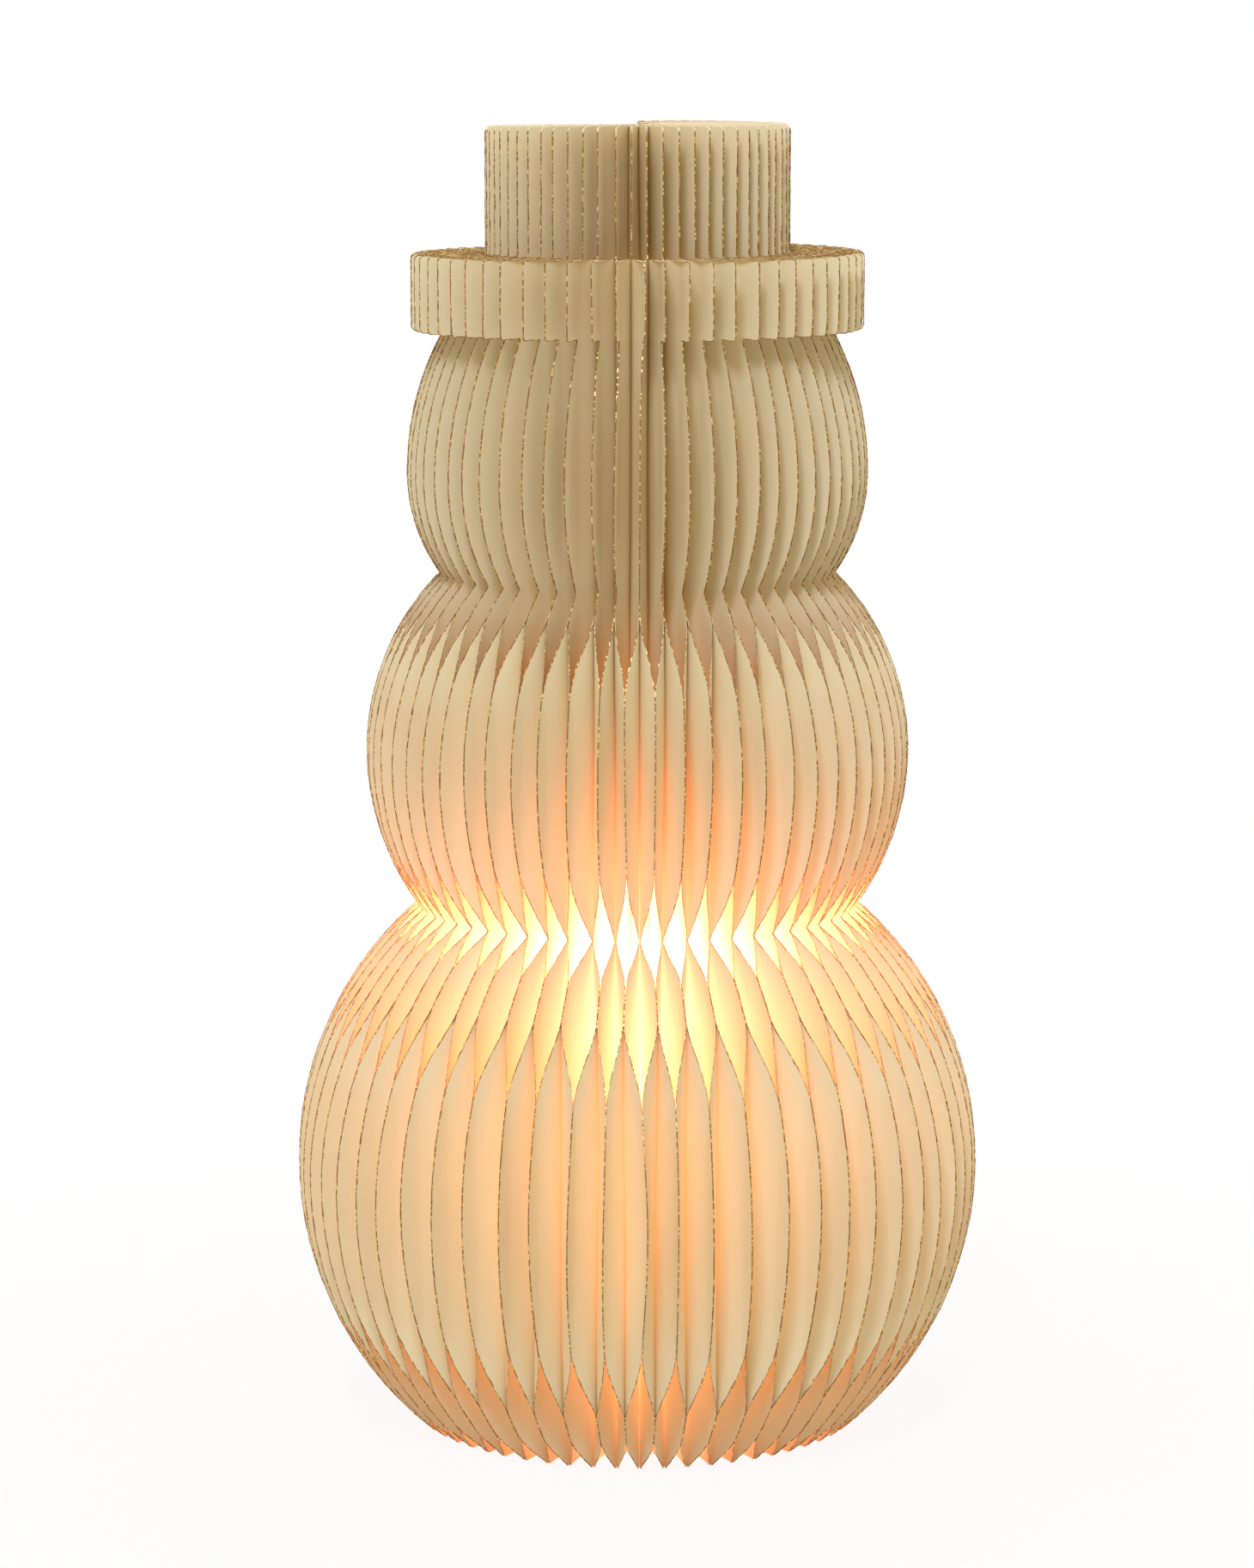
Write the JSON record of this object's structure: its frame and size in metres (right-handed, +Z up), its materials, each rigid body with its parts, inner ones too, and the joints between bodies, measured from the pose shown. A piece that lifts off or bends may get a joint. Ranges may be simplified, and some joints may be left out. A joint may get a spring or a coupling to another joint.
{
  "type": "snowman table lamp",
  "caption": "Folding paper snowman lamp: a round fan of pleated paper leaves with a flat brimmed hat, standing over a battery light unit with a globe.",
  "frame": {"origin": "on the table, under the lamp's vertical axis", "axes": "+Z up, the front with the fan's seam looks along -Y, +X to the lamp's left as it is seen from behind and to the right as it is seen from the front"},
  "size_m": [0.211, 0.211, 0.4],
  "materials": {
    "paper": "uncoated cream paper, cut edges touched with gold glitter",
    "magnet": "nickel plated",
    "white_plastic": "fine moulded texture",
    "black_plastic": "satin",
    "rubber": "matt",
    "steel": "plated",
    "cell_jacket": "printed film",
    "board": "solder mask",
    "led_board": "white solder mask",
    "emitter": "phosphor under clear resin",
    "stem_metal": "satin",
    "wire_jacket": "soft vinyl",
    "frosted_plastic": "frosted, lit from inside"
  },
  "bodies": {
    "light_unit": {"light_unit_housing": "white_plastic", "bottom_cover": "white_plastic", "rubber_feet": "rubber", "cover_screws": "steel", "battery_cradle": "white_plastic", "cell_1": "cell_jacket", "cell_2": "cell_jacket", "cell_3": "cell_jacket", "contact_springs": "steel", "contact_plates": "steel", "driver_board": "board", "driver_chips": "black_plastic", "wire_plug": "white_plastic", "switch_body": "black_plastic", "stem_tube": "stem_metal", "globe_holder": "white_plastic", "led_wires": "wire_jacket", "led_board": "led_board", "led_emitters": "emitter"},
    "battery_door": {"battery_door": "white_plastic"},
    "switch_knob": {"switch_knob": "black_plastic"},
    "frosted_globe": {"frosted_globe": "frosted_plastic"},
    "paper_core": {"paper_leaves_15": "paper", "paper_leaves_16": "paper"},
    "fan_right_01": {"paper_leaves_01": "paper", "seam_magnets_right": "magnet"},
    "fan_right_02": {"paper_leaves_02": "paper"},
    "fan_right_03": {"paper_leaves_03": "paper"},
    "fan_right_04": {"paper_leaves_04": "paper"},
    "fan_right_05": {"paper_leaves_05": "paper"},
    "fan_right_06": {"paper_leaves_06": "paper"},
    "fan_right_07": {"paper_leaves_07": "paper"},
    "fan_right_08": {"paper_leaves_08": "paper"},
    "fan_right_09": {"paper_leaves_09": "paper"},
    "fan_right_10": {"paper_leaves_10": "paper"},
    "fan_right_11": {"paper_leaves_11": "paper"},
    "fan_right_12": {"paper_leaves_12": "paper"},
    "fan_right_13": {"paper_leaves_13": "paper"},
    "fan_right_14": {"paper_leaves_14": "paper"},
    "fan_left_17": {"paper_leaves_17": "paper"},
    "fan_left_18": {"paper_leaves_18": "paper"},
    "fan_left_19": {"paper_leaves_19": "paper"},
    "fan_left_20": {"paper_leaves_20": "paper"},
    "fan_left_21": {"paper_leaves_21": "paper"},
    "fan_left_22": {"paper_leaves_22": "paper"},
    "fan_left_23": {"paper_leaves_23": "paper"},
    "fan_left_24": {"paper_leaves_24": "paper"},
    "fan_left_25": {"paper_leaves_25": "paper"},
    "fan_left_26": {"paper_leaves_26": "paper"},
    "fan_left_27": {"paper_leaves_27": "paper"},
    "fan_left_28": {"paper_leaves_28": "paper"},
    "fan_left_29": {"paper_leaves_29": "paper"},
    "fan_left_30": {"paper_leaves_30": "paper", "seam_magnets_left": "magnet"}
  },
  "joints": [
    {"name": "switch_slide", "type": "slide", "parent": "light_unit", "child": "switch_knob", "axis": [0, 0, -1], "range_m": [0, 0.004]},
    {"name": "door_slide", "type": "slide", "parent": "light_unit", "child": "battery_door", "axis": [0, 0, 1], "range_m": [0, 0.05]},
    {"name": "globe_twist", "type": "hinge", "parent": "light_unit", "child": "frosted_globe", "pos_m": [0, 0, 0], "axis": [0, 0, 1], "range_deg": [0, 60]},
    {"name": "paper_lift", "type": "slide", "parent": "light_unit", "child": "paper_core", "axis": [0, 0, 1], "range_m": [0, 0.25]},
    {"name": "paper_fold", "type": "hinge", "parent": "paper_core", "child": "fan_right_01", "pos_m": [0.01044, 0.00055, 0], "axis": [0, 0, 1], "range_deg": [0, 174], "deforming": ["paper_leaves_01", "paper_leaves_15", "paper_leaves_16"]},
    {"name": "fold_02", "type": "hinge", "parent": "paper_core", "child": "fan_right_02", "pos_m": [0.00972, 0.00154, 0], "axis": [0, 0, 1], "range_deg": [0, 162], "deforming": ["paper_leaves_02"]},
    {"name": "fold_03", "type": "hinge", "parent": "paper_core", "child": "fan_right_03", "pos_m": [0.009, 0.00241, 0], "axis": [0, 0, 1], "range_deg": [0, 150], "deforming": ["paper_leaves_03"]},
    {"name": "fold_04", "type": "hinge", "parent": "paper_core", "child": "fan_right_04", "pos_m": [0.00828, 0.00318, 0], "axis": [0, 0, 1], "range_deg": [0, 138], "deforming": ["paper_leaves_04"]},
    {"name": "fold_05", "type": "hinge", "parent": "paper_core", "child": "fan_right_05", "pos_m": [0.00756, 0.00385, 0], "axis": [0, 0, 1], "range_deg": [0, 126], "deforming": ["paper_leaves_05"]},
    {"name": "fold_06", "type": "hinge", "parent": "paper_core", "child": "fan_right_06", "pos_m": [0.00684, 0.00444, 0], "axis": [0, 0, 1], "range_deg": [0, 114], "deforming": ["paper_leaves_06"]},
    {"name": "fold_07", "type": "hinge", "parent": "paper_core", "child": "fan_right_07", "pos_m": [0.00612, 0.00496, 0], "axis": [0, 0, 1], "range_deg": [0, 102], "deforming": ["paper_leaves_07"]},
    {"name": "fold_08", "type": "hinge", "parent": "paper_core", "child": "fan_right_08", "pos_m": [0.0054, 0.0054, 0], "axis": [0, 0, 1], "range_deg": [0, 90], "deforming": ["paper_leaves_08"]},
    {"name": "fold_09", "type": "hinge", "parent": "paper_core", "child": "fan_right_09", "pos_m": [0.00468, 0.00578, 0], "axis": [0, 0, 1], "range_deg": [0, 78], "deforming": ["paper_leaves_09"]},
    {"name": "fold_10", "type": "hinge", "parent": "paper_core", "child": "fan_right_10", "pos_m": [0.00396, 0.0061, 0], "axis": [0, 0, 1], "range_deg": [0, 66], "deforming": ["paper_leaves_10"]},
    {"name": "fold_11", "type": "hinge", "parent": "paper_core", "child": "fan_right_11", "pos_m": [0.00324, 0.00636, 0], "axis": [0, 0, 1], "range_deg": [0, 54], "deforming": ["paper_leaves_11"]},
    {"name": "fold_12", "type": "hinge", "parent": "paper_core", "child": "fan_right_12", "pos_m": [0.00252, 0.00656, 0], "axis": [0, 0, 1], "range_deg": [0, 42], "deforming": ["paper_leaves_12"]},
    {"name": "fold_13", "type": "hinge", "parent": "paper_core", "child": "fan_right_13", "pos_m": [0.0018, 0.00672, 0], "axis": [0, 0, 1], "range_deg": [0, 30], "deforming": ["paper_leaves_13"]},
    {"name": "fold_14", "type": "hinge", "parent": "paper_core", "child": "fan_right_14", "pos_m": [0.00108, 0.00682, 0], "axis": [0, 0, 1], "range_deg": [0, 18], "deforming": ["paper_leaves_14"]},
    {"name": "fold_17", "type": "hinge", "parent": "paper_core", "child": "fan_left_17", "pos_m": [-0.00108, 0.00682, 0], "axis": [0, 0, -1], "range_deg": [0, 18], "deforming": ["paper_leaves_17"]},
    {"name": "fold_18", "type": "hinge", "parent": "paper_core", "child": "fan_left_18", "pos_m": [-0.0018, 0.00672, 0], "axis": [0, 0, -1], "range_deg": [0, 30], "deforming": ["paper_leaves_18"]},
    {"name": "fold_19", "type": "hinge", "parent": "paper_core", "child": "fan_left_19", "pos_m": [-0.00252, 0.00656, 0], "axis": [0, 0, -1], "range_deg": [0, 42], "deforming": ["paper_leaves_19"]},
    {"name": "fold_20", "type": "hinge", "parent": "paper_core", "child": "fan_left_20", "pos_m": [-0.00324, 0.00636, 0], "axis": [0, 0, -1], "range_deg": [0, 54], "deforming": ["paper_leaves_20"]},
    {"name": "fold_21", "type": "hinge", "parent": "paper_core", "child": "fan_left_21", "pos_m": [-0.00396, 0.0061, 0], "axis": [0, 0, -1], "range_deg": [0, 66], "deforming": ["paper_leaves_21"]},
    {"name": "fold_22", "type": "hinge", "parent": "paper_core", "child": "fan_left_22", "pos_m": [-0.00468, 0.00578, 0], "axis": [0, 0, -1], "range_deg": [0, 78], "deforming": ["paper_leaves_22"]},
    {"name": "fold_23", "type": "hinge", "parent": "paper_core", "child": "fan_left_23", "pos_m": [-0.0054, 0.0054, 0], "axis": [0, 0, -1], "range_deg": [0, 90], "deforming": ["paper_leaves_23"]},
    {"name": "fold_24", "type": "hinge", "parent": "paper_core", "child": "fan_left_24", "pos_m": [-0.00612, 0.00496, 0], "axis": [0, 0, -1], "range_deg": [0, 102], "deforming": ["paper_leaves_24"]},
    {"name": "fold_25", "type": "hinge", "parent": "paper_core", "child": "fan_left_25", "pos_m": [-0.00684, 0.00444, 0], "axis": [0, 0, -1], "range_deg": [0, 114], "deforming": ["paper_leaves_25"]},
    {"name": "fold_26", "type": "hinge", "parent": "paper_core", "child": "fan_left_26", "pos_m": [-0.00756, 0.00385, 0], "axis": [0, 0, -1], "range_deg": [0, 126], "deforming": ["paper_leaves_26"]},
    {"name": "fold_27", "type": "hinge", "parent": "paper_core", "child": "fan_left_27", "pos_m": [-0.00828, 0.00318, 0], "axis": [0, 0, -1], "range_deg": [0, 138], "deforming": ["paper_leaves_27"]},
    {"name": "fold_28", "type": "hinge", "parent": "paper_core", "child": "fan_left_28", "pos_m": [-0.009, 0.00241, 0], "axis": [0, 0, -1], "range_deg": [0, 150], "deforming": ["paper_leaves_28"]},
    {"name": "fold_29", "type": "hinge", "parent": "paper_core", "child": "fan_left_29", "pos_m": [-0.00972, 0.00154, 0], "axis": [0, 0, -1], "range_deg": [0, 162], "deforming": ["paper_leaves_29"]},
    {"name": "fold_30", "type": "hinge", "parent": "paper_core", "child": "fan_left_30", "pos_m": [-0.01044, 0.00055, 0], "axis": [0, 0, -1], "range_deg": [0, 174], "deforming": ["paper_leaves_30"]}
  ],
  "couplings": [
    {"joint": "fold_02", "follows": "paper_fold", "ratio": 0.93103},
    {"joint": "fold_03", "follows": "paper_fold", "ratio": 0.86207},
    {"joint": "fold_04", "follows": "paper_fold", "ratio": 0.7931},
    {"joint": "fold_05", "follows": "paper_fold", "ratio": 0.72414},
    {"joint": "fold_06", "follows": "paper_fold", "ratio": 0.65517},
    {"joint": "fold_07", "follows": "paper_fold", "ratio": 0.58621},
    {"joint": "fold_08", "follows": "paper_fold", "ratio": 0.51724},
    {"joint": "fold_09", "follows": "paper_fold", "ratio": 0.44828},
    {"joint": "fold_10", "follows": "paper_fold", "ratio": 0.37931},
    {"joint": "fold_11", "follows": "paper_fold", "ratio": 0.31034},
    {"joint": "fold_12", "follows": "paper_fold", "ratio": 0.24138},
    {"joint": "fold_13", "follows": "paper_fold", "ratio": 0.17241},
    {"joint": "fold_14", "follows": "paper_fold", "ratio": 0.10345},
    {"joint": "fold_17", "follows": "paper_fold", "ratio": 0.10345},
    {"joint": "fold_18", "follows": "paper_fold", "ratio": 0.17241},
    {"joint": "fold_19", "follows": "paper_fold", "ratio": 0.24138},
    {"joint": "fold_20", "follows": "paper_fold", "ratio": 0.31034},
    {"joint": "fold_21", "follows": "paper_fold", "ratio": 0.37931},
    {"joint": "fold_22", "follows": "paper_fold", "ratio": 0.44828},
    {"joint": "fold_23", "follows": "paper_fold", "ratio": 0.51724},
    {"joint": "fold_24", "follows": "paper_fold", "ratio": 0.58621},
    {"joint": "fold_25", "follows": "paper_fold", "ratio": 0.65517},
    {"joint": "fold_26", "follows": "paper_fold", "ratio": 0.72414},
    {"joint": "fold_27", "follows": "paper_fold", "ratio": 0.7931},
    {"joint": "fold_28", "follows": "paper_fold", "ratio": 0.86207},
    {"joint": "fold_29", "follows": "paper_fold", "ratio": 0.93103},
    {"joint": "fold_30", "follows": "paper_fold", "ratio": 1}
  ]
}
